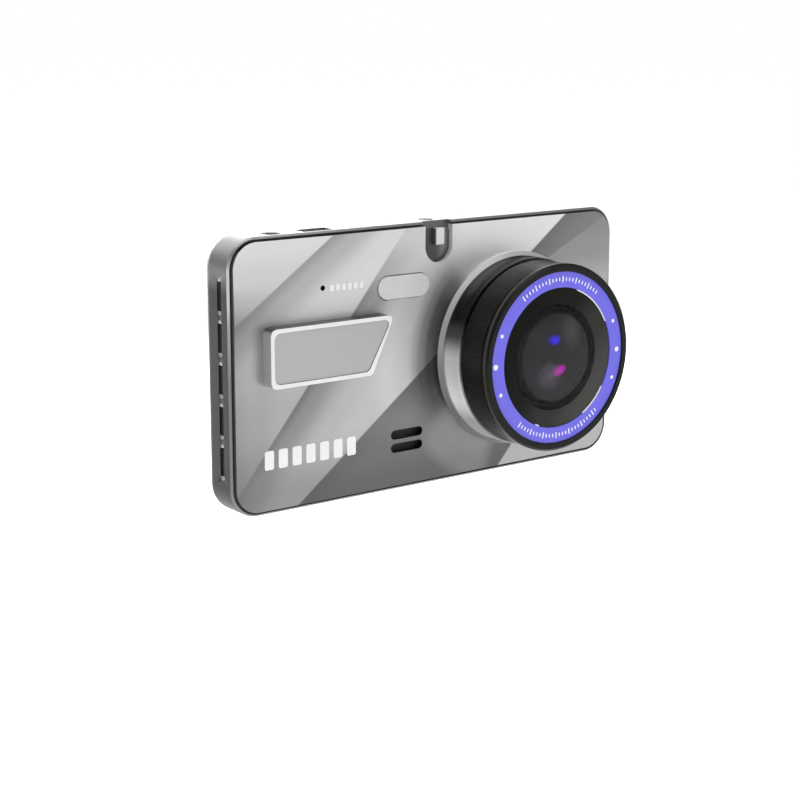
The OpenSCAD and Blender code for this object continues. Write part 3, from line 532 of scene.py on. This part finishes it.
MATS = {
    "cover": cover_material(),
    "housing": housing_material(),
    "barrel": barrel_material(),
    "ring": ring_material(),
    "collar": collar_material(),
    "plate": badge_plate_material(),
    "rim": badge_rim_material(),
    # painted highlight: white for the bright arcs on the ring's lip
    "lip_highlight": simple("bright_trim", (0.9, 0.9, 0.9), 0.3, 0.1, 5, 0.0005, 0.03, Coat_Weight=0.4),
    "print": simple("white_print", (0.92, 0.92, 0.92), 0.5, 0.0, 6, 0.0006, 0.02),
    "gasket": simple("seam_rubber", (0.05, 0.05, 0.05), 0.7, 0, 5, 0.01, 0.2),
    "window": simple("window_frost", (0.66, 0.66, 0.67), 0.4, 0.0, 4, 0.0006, 0.03,
                     Coat_Weight=0.3, Coat_Roughness=0.15),
    "bezel": bezel_material(),
    "baffle": baffle_material(),
    "cell": simple("cell_black", (0.012, 0.012, 0.012), 0.6, 0, 9, 0.0005, 0.15,
                   Specular_IOR_Level=0.1),
    # painted glints on the front glass and the dome: painted reflections of the lights
    "front_glass": coated_material("front_glass", (0.040, 0.039, 0.042),
                                   [(-0.9, 4.3, 1.9, 1.5, 0, (0.06, 0.03, 1.0)),
                                    (0.6, -3.2, 2.6, 1.5, 20, (0.66, 0.02, 0.58)),
                                    (-2.2, -4.2, 4.5, 4.2, 20, (0.085, 0.080, 0.095)),
                                    (4.5, 6.0, 5.5, 3.5, 100, (0.060, 0.060, 0.058))], 0.25),
    "dome": coated_material("dome_glass", (0.07, 0.07, 0.085),
                            [(-3.0, -4.5, 5.0, 3.0, 60, (0.14, 0.13, 0.20))]),
    "blue_glass": glass_material("blue_glass", (0.35, 0.35, 0.6), 0.9, (0.1, 0.1, 1.0)),
    "violet_glass": glass_material("violet_glass", (0.4, 0.25, 0.4), 0.85, (0.8, 0.1, 0.8)),
    "filter": glass_material("filter_glass", (0.7, 0.35, 0.4), 0.8, (0.8, 0.3, 0.3)),
    "sensor": simple("sensor_glass", (0.03, 0.05, 0.06), 0.08, 0.3, 6, 0.001, 0.2,
                     Coat_Weight=1.0),
    "screen": simple("display_glass", (0.006, 0.006, 0.008), 0.12, 0, 0.6, 0.0005, 0.2,
                     Specular_IOR_Level=0.12),
    "film": simple("display_film", (0.02, 0.02, 0.03), 0.25, 0, 3, 0.002, 0.1),
    "white": simple("white_plastic", (0.72, 0.72, 0.70), 0.45, 0, 5, 0.006, 0.04),
    # painted shade: the reset stem is near black so the pinhole reads as dark shade
    "dark": simple("painted_pinhole_shade", (0.004, 0.004, 0.004), 0.6, 0, 7, 0.001, 0.1,
                   Specular_IOR_Level=0.05),
    "black": simple("black_plastic", (0.018, 0.018, 0.019), 0.45, 0, 7, 0.008, 0.15),
    "steel": simple("plated_steel", (0.52, 0.52, 0.53), 0.28, 0.95, 5, 0.003, 0.07, (1, 1, 4)),
    "board": simple("board_green", (0.015, 0.09, 0.045), 0.35, 0, 4, 0.008, 0.2, Coat_Weight=0.3),
    "chip": simple("chip_black", (0.02, 0.02, 0.021), 0.55, 0, 8, 0.008, 0.15),
    "flex": simple("flex_amber", (0.42, 0.2, 0.03), 0.35, 0, 4, 0.003, 0.12),
    "cone": simple("cone_paper", (0.05, 0.05, 0.05), 0.8, 0, 4, 0.02, 0.2),
    "foil": simple("battery_foil", (0.5, 0.5, 0.52), 0.35, 0.7, 2.5, 0.01, 0.08),
    "socket": socket_material(),
    "key": key_material(),
    "led": simple("led_yellow", (0.8, 0.66, 0.2), 0.3, 0, 4, 0.003, 0.08),
}

NODE_MATS = {
    "front_cover": "cover", "seam_gasket": "gasket", "rear_housing": "housing", "back_glass": "screen",
    "lcd_panel": "film", "backlight": "white", "display_tray": "steel", "badge_rim": "rim",
    "badge_plate": "plate", "fill_light_window": "window", "fill_light_leds": "led",
    "lens_collar": "collar", "lens_barrel": "barrel", "lens_bezel": "bezel", "accent_ring": "ring",
    "lens_baffle": "baffle", "front_element": "front_glass", "lens_cell": "cell",
    "second_element": "dome", "third_element": "violet_glass", "rear_element": "blue_glass",
    "ir_filter": "filter", "lens_holder": "black", "image_sensor": "sensor", "sensor_board": "board",
    "sensor_screws": "steel", "collar_screws": "steel", "sensor_flex": "flex", "main_board": "board",
    "board_screws": "steel", "processor": "chip", "memory_chips": "chip", "shield_can": "steel",
    "display_flex": "flex", "card_socket": "steel", "usb_socket": "steel", "usb_tongue": "black",
    "av_jack": "black", "microphone": "steel", "speaker_frame": "black", "speaker_cone": "cone",
    "speaker_gasket": "gasket", "battery": "foil", "battery_pad": "white", "bracket_socket": "socket",
    "key_switches": "black", "reset_switch": "black", "reset_stem": "dark",
}
for key in ("power", "menu", "up", "ok", "down"):
    NODE_MATS[key + "_key"] = "key"
    NODE_MATS[key + "_stem"] = "white"


# Width of the rounded edges in mm, where it isn't the usual one
BEVEL, KEY_BEVEL = 0.06, 0.25
BEVELS = {
    "front_cover": 0.14, "rear_housing": 0.12, "badge_rim": 0.12, "badge_plate": 0.04,
    "fill_light_window": 0.2, "lens_barrel": 0.08, "lens_bezel": 0.05, "accent_ring": 0.04,
    "lens_baffle": 0.05, "lens_collar": 0, "back_glass": 0.2, "seam_gasket": 0.04,
    "bracket_socket": 0.1, "usb_socket": 0.05, "card_socket": 0.05,
}


def finish_node(name):
    """Gives a CAD node its material, welded vertices and rounded edges."""
    o = NODES[name]
    o.data.materials.clear()
    o.data.materials.append(MATS[NODE_MATS[name]])
    o.modifiers.new("weld", "WELD").merge_threshold = 2e-6
    bevel = KEY_BEVEL if name.endswith("_key") else BEVELS.get(name, BEVEL)
    if bevel:
        b = o.modifiers.new("edges", "BEVEL")
        b.width = bevel / 1000
        b.segments = 2
        b.limit_method = "ANGLE"
        b.angle_limit = math.radians(32)
        b.harden_normals = False
        b.miter_outer = "MITER_ARC"
        o.modifiers.new("normals", "WEIGHTED_NORMAL").keep_sharp = True
    for p in o.data.polygons:
        p.use_smooth = True


for name in NODES:
    finish_node(name)

# ---------------------------------------------------------------- printed marks and the painted highlight on the lip


def cover_tree():
    me = NODES["front_cover"].data
    return BVHTree.FromPolygons([v.co.copy() for v in me.vertices],
                                [tuple(p.vertices) for p in me.polygons])


COVER = cover_tree()


def cover_y(x, z):
    """Depth in body mm of the cover's front at a place."""
    hit = COVER.ray_cast(at(x, -20, z), Vector((0, 1, 0)))[0]
    return hit.y * 1000 + BRACKET_Y


def sheet_piece(name, outlines, thick, mat):
    """Joins outlines, each a list of (x, y, z) in body mm, into one piece that reaches `thick` mm
    to either side of them and rides on the case."""
    bm = bmesh.new()
    for outline in outlines:
        front = [bm.verts.new(at(x, y - thick, z)) for x, y, z in outline]
        back = [bm.verts.new(at(x, y + thick, z)) for x, y, z in outline]
        bm.faces.new(front)
        bm.faces.new(back[::-1])
        for i in range(len(front)):
            j = (i + 1) % len(front)
            bm.faces.new((front[i], back[i], back[j], front[j]))
    bmesh.ops.recalc_face_normals(bm, faces=bm.faces)
    me = bpy.data.meshes.new(name)
    bm.to_mesh(me)
    bm.free()
    o = bpy.data.objects.new(name, me)
    bpy.context.scene.collection.objects.link(o)
    me.materials.append(MATS[mat])
    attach(o, "case")


def round_lens(y, r, t):
    """A place at distance r from the lens axis, at angle t in radians."""
    return LENS_X + r * math.cos(t), y, LENS_Z + r * math.sin(t)


def rounded(cx, cz, w, h, r, tilt=0.0, steps=4):
    """Outline of a rounded rectangle in X and Z, turned by `tilt` radians."""
    out = []
    for sx, sz, a0 in ((1, 1, 0), (-1, 1, 90), (-1, -1, 180), (1, -1, 270)):
        for i in range(steps + 1):
            a = math.radians(a0 + 90 * i / steps)
            out.append((sx * (w / 2 - r) + r * math.cos(a), sz * (h / 2 - r) + r * math.sin(a)))
    c, s = math.cos(tilt), math.sin(tilt)
    return [(cx + px * c - pz * s, cz + px * s + pz * c) for px, pz in out]


def on_cover(outline):
    """Lays an outline just before the cover's front."""
    return [(x, cover_y(x, z) - 0.05, z) for x, z in outline]


# Half the thickness of the print and of the lip, in mm; the lip's depth and radii; the ticks' radius;
# and the dots as (angle in degrees, distance from the lens axis, radius)
PRINT_T, LIP_T = 0.012, 0.12
LIP_Y, LIP_IN_R, LIP_OUT_R = -(LENS_F - 0.52), 16.52, 16.76
TICK_R = 18.7
DOTS = ((0, 19.0, 0.62), (22, 18.9, 0.46), (-21, 18.9, 0.46), (180, 19.3, 0.68), (158, 18.9, 0.46),
        (201, 18.9, 0.46))


def ring_marks():
    """Ticks at the top and bottom of the coloured ring, where the photo has lettering, and its dots."""
    marks = []
    for start, count, step in ((126.0, 24, -3.25), (231.0, 26, 3.2)):
        for i in range(count):
            a = math.radians(start + i * step)
            tall = 1.5 if i % 4 == 0 else 0.9
            cx, _, cz = round_lens(RING_Y, TICK_R, a)
            marks.append([(x, RING_Y, z) for x, z in rounded(cx, cz, tall, 0.34, 0.15, a, 2)])
    for angle, r, size in DOTS:
        cx, _, cz = round_lens(RING_Y, r, math.radians(angle))
        marks.append([(cx + size * math.cos(t * math.pi / 12), RING_Y, cz + size * math.sin(t * math.pi / 12))
                      for t in range(24)])
    sheet_piece("ring_marks", marks, PRINT_T, "print")


def cover_marks():
    """Rows of bars beside the reset hole and at the lower left, where the photo has lettering."""
    small = [on_cover(rounded(-29.7 + 1.62 * i, 49.7, 1.1, 1.5, 0.25)) for i in range(6)]
    sheet_piece("reset_mark", small, PRINT_T, "print")
    large = [on_cover(rounded(-46.9 + 3.75 * i, 12.6, 2.5, 4.4, 0.5)) for i in range(7)]
    sheet_piece("front_mark", large, PRINT_T, "print")


def painted_lip_highlight():
    """Painted highlights: bright arcs on the inner edge of the coloured ring."""
    arcs = []
    for start, end in ((26, 70), (-60, -31), (246, 250)):
        n = max(3, int((end - start) / 2))
        turns = [math.radians(start + (end - start) * i / n) for i in range(n + 1)]
        edge = [(LIP_OUT_R, t) for t in turns] + [(LIP_IN_R, t) for t in reversed(turns)]
        arcs.append([round_lens(LIP_Y, r, t) for r, t in edge])
    sheet_piece("ring_lip_highlight", arcs, LIP_T, "lip_highlight")


ring_marks()
cover_marks()
painted_lip_highlight()

# ---------------------------------------------------------------- stage


# Strength of the world as a light; the floor's half width and its distance below the part, in m
WORLD_LIGHT, FLOOR_HALF, FLOOR_DROP = 0.22, 20.0, 0.25
# The camera: its direction from the part in degrees, its turn, its distance in m and its lens in mm
CAM_AZ, CAM_EL, CAM_ROLL, CAM_DIST, CAM_LENS = -37.26, 12.52, -0.11, 0.4139, 79.83


def area(name, loc, target, size, power):
    data = bpy.data.lights.new(name, "AREA")
    data.shape = "RECTANGLE"
    data.size, data.size_y = size
    data.energy = power
    o = bpy.data.objects.new(name, data)
    bpy.context.scene.collection.objects.link(o)
    o.location = loc
    o.rotation_euler = (target - o.location).to_track_quat("-Z", "Y").to_euler()


def build_stage():
    """White to the camera and dimmer as a light, a pale floor, a soft sun and two area lights."""
    world = bpy.data.worlds.new("studio")
    bpy.context.scene.world = world
    world.use_nodes = True
    tree = world.node_tree
    back = tree.nodes["Background"]
    back.inputs[0].default_value = (1, 1, 1, 1)
    path = tree.nodes.new("ShaderNodeLightPath")
    seen = tree.nodes.new("ShaderNodeMapRange")
    seen.inputs["To Min"].default_value = WORLD_LIGHT
    seen.inputs["To Max"].default_value = 1.0
    tree.links.new(path.outputs["Is Camera Ray"], seen.inputs["Value"])
    tree.links.new(seen.outputs[0], back.inputs[1])
    mesh = bpy.data.meshes.new("floor")
    s, zf = FLOOR_HALF, at(0, 0, 0).z - FLOOR_DROP
    mesh.from_pydata([(-s, -s, zf), (s, -s, zf), (s, s, zf), (-s, s, zf)], [], [(0, 1, 2, 3)])
    floor = bpy.data.objects.new("floor", mesh)
    bpy.context.scene.collection.objects.link(floor)
    mesh.materials.append(Mat("floor_white", 0.8, 0.0, (0.95, 0.95, 0.95)).mat)
    centre = at(0, 0, 31)
    sun = bpy.data.lights.new("overhead", "SUN")
    sun.energy = 2.8
    sun.angle = math.radians(60)
    bpy.context.scene.collection.objects.link(bpy.data.objects.new("overhead", sun))
    area("front_light", (0.55, -0.9, 0.45), centre, (0.6, 0.6), 2.4)
    area("back_light", (0.5, 1.3, 0.35), centre, (2.0, 1.0), 30)


def build_camera():
    """The photo's own viewpoint."""
    az, el = math.radians(CAM_AZ), math.radians(CAM_EL)
    target = at(-10.01, 0, 21.37)
    back = Vector((math.sin(az) * math.cos(el), -math.cos(az) * math.cos(el), math.sin(el)))
    cam = bpy.data.cameras.new("camera")
    cam.lens = CAM_LENS
    cam.sensor_width = 36
    cam.clip_start = 0.01
    o = bpy.data.objects.new("camera", cam)
    bpy.context.scene.collection.objects.link(o)
    o.location = target + back * CAM_DIST
    q = (target - o.location).to_track_quat("-Z", "Y")
    o.rotation_mode = "QUATERNION"
    o.rotation_quaternion = q @ Matrix.Rotation(math.radians(-CAM_ROLL), 4, "Z").to_quaternion()
    bpy.context.scene.camera = o


build_stage()
build_camera()
bpy.context.scene.view_settings.view_transform = "Standard"
